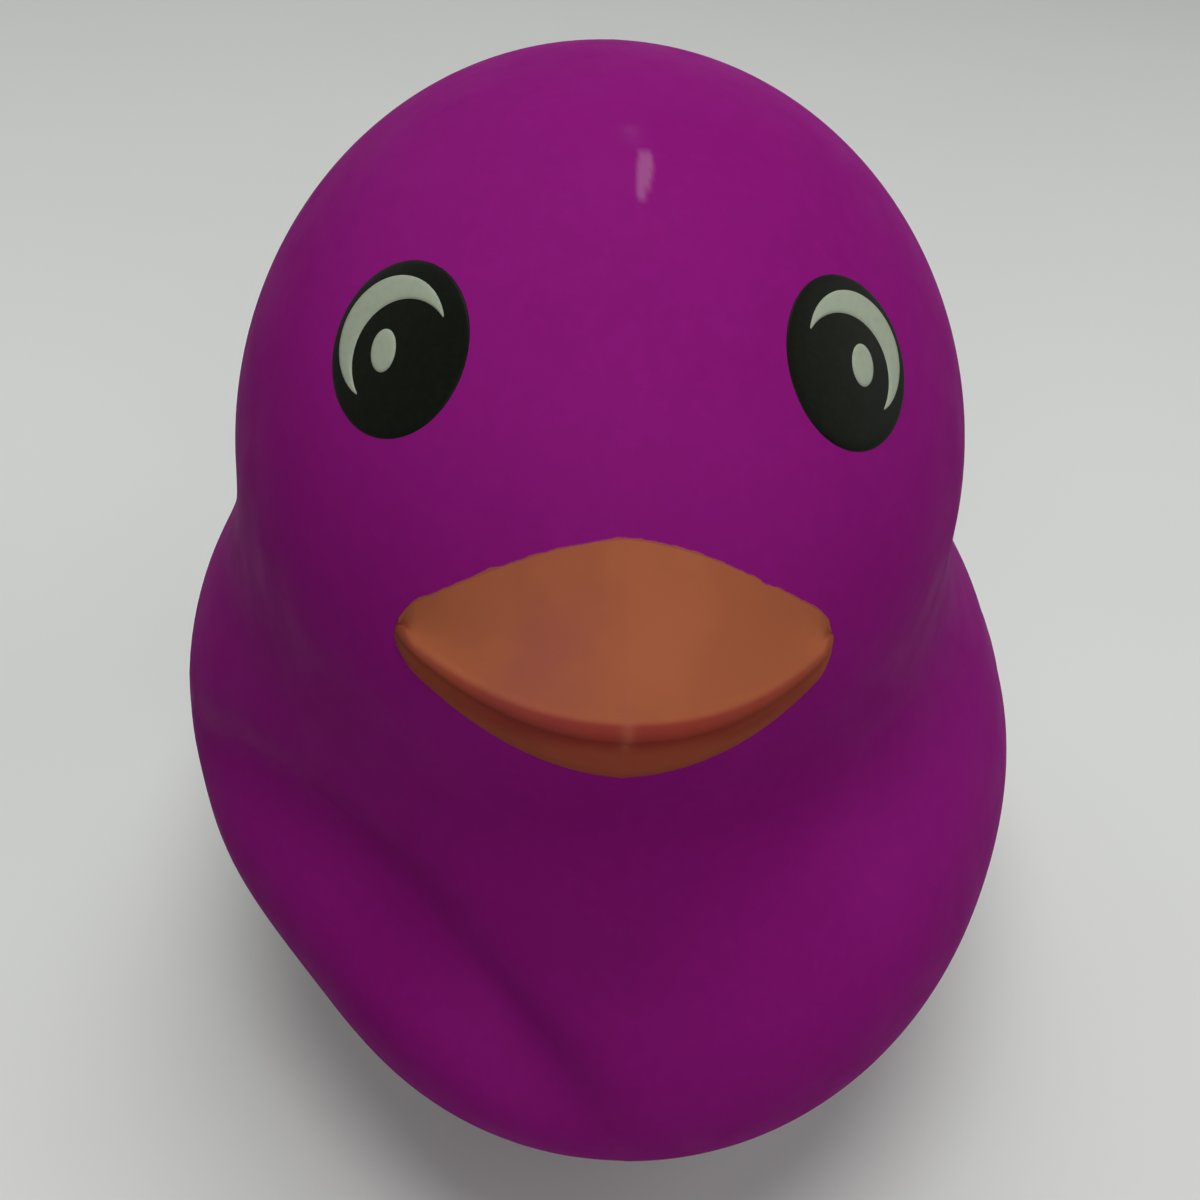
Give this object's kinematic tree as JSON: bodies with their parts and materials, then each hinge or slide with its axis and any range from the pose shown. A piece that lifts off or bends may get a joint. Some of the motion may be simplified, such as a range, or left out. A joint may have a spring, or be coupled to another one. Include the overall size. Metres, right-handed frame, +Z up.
{
  "type": "squeezable duck",
  "caption": "Purple squeezable duck of soft vinyl, hollow, with an orange bill, printed eyes, an upturned tail and a dent pressed into its breast.",
  "frame": {"origin": "middle of the duck's footprint, at the height of the flat underside", "axes": "+Z up, -Y the way the duck faces, +X the duck's own left"},
  "size_m": [0.0732, 0.1056, 0.0886],
  "materials": {
    "vinyl": "satin"
  },
  "bodies": {
    "root": {"duck": "vinyl"}
  },
  "joints": []
}
